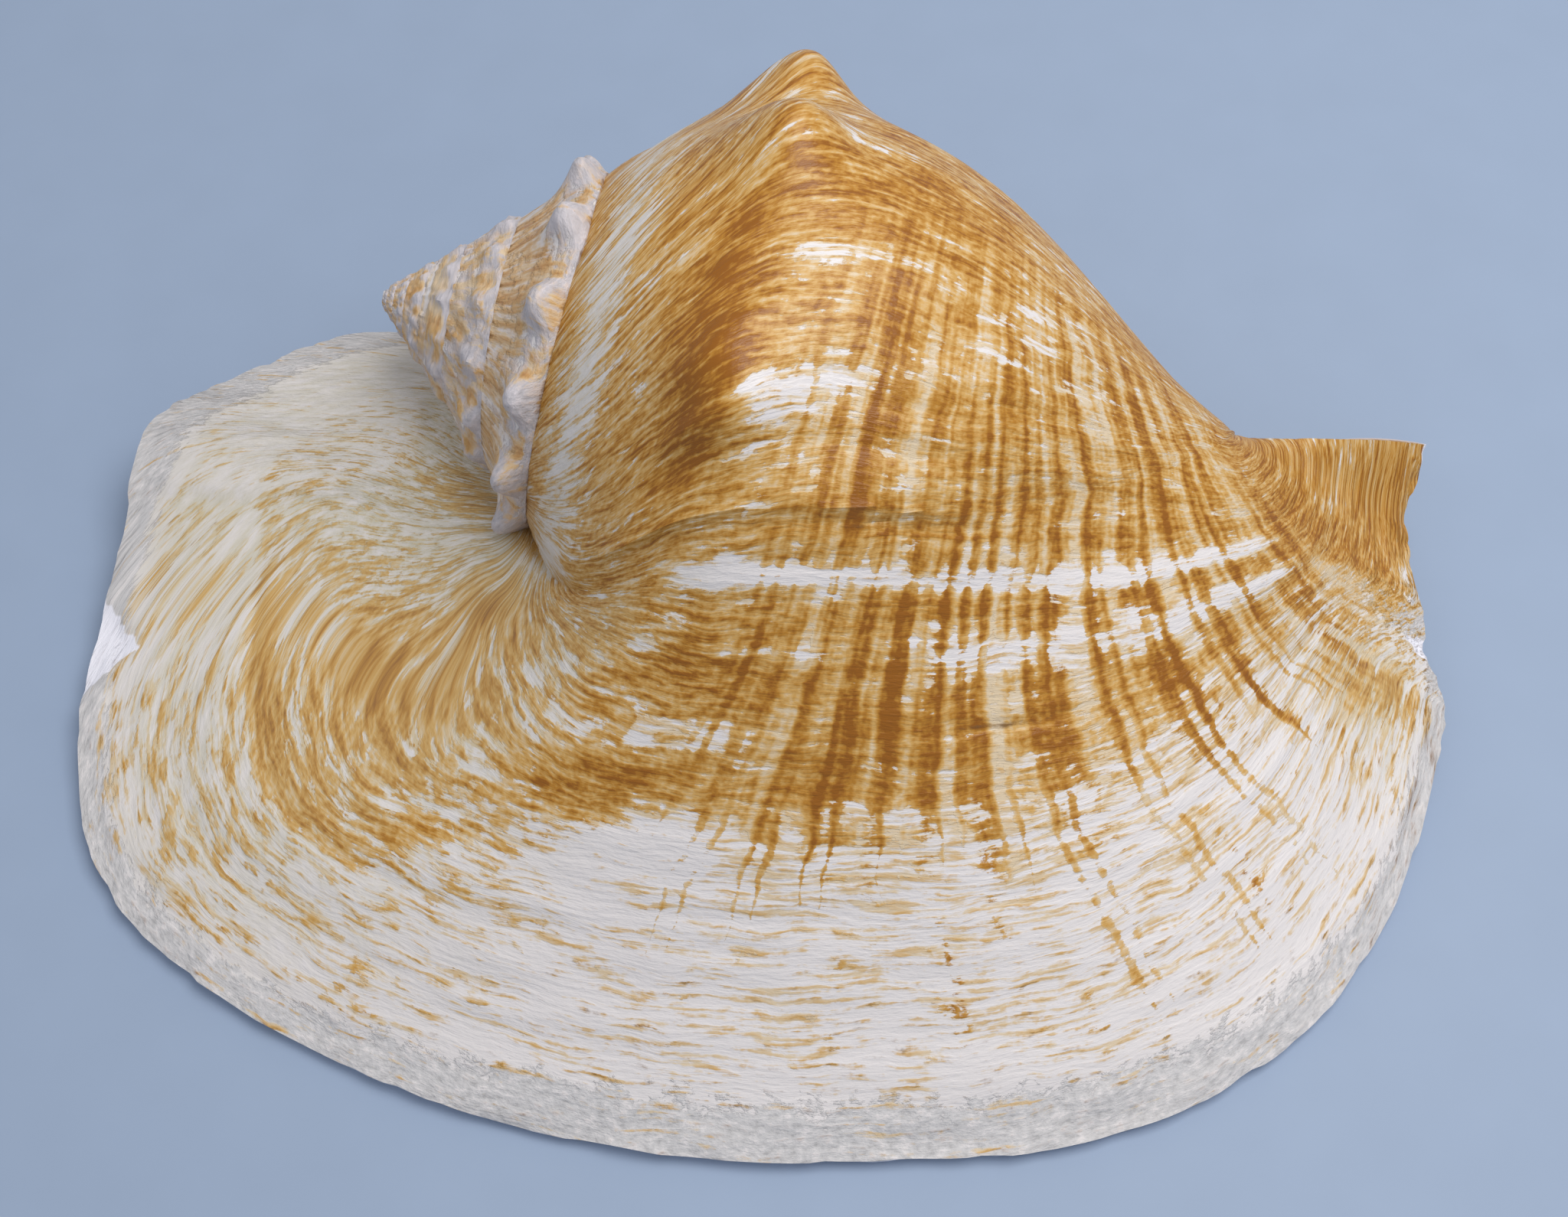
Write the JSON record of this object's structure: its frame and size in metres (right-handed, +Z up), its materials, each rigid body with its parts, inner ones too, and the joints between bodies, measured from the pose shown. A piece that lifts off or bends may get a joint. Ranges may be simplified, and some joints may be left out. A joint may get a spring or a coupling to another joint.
{
  "type": "conch shell",
  "caption": "Large winged conch shell lying on its mouth: knobbed spire, domed body whorl, broad flared lip and a short open canal.",
  "frame": {"origin": "centre of the shell's outline seen from above, on the surface that it rests on", "axes": "+X along the shell towards the canal, -Y towards the edge of the flared lip, +Z up from the mouth to the back"},
  "size_m": [0.305, 0.2162, 0.1206],
  "materials": {
    "shell": "satin ochre and cream shell, chalky at the spire and the lip's edge"
  },
  "bodies": {
    "root": {"shell": "shell"}
  },
  "joints": []
}
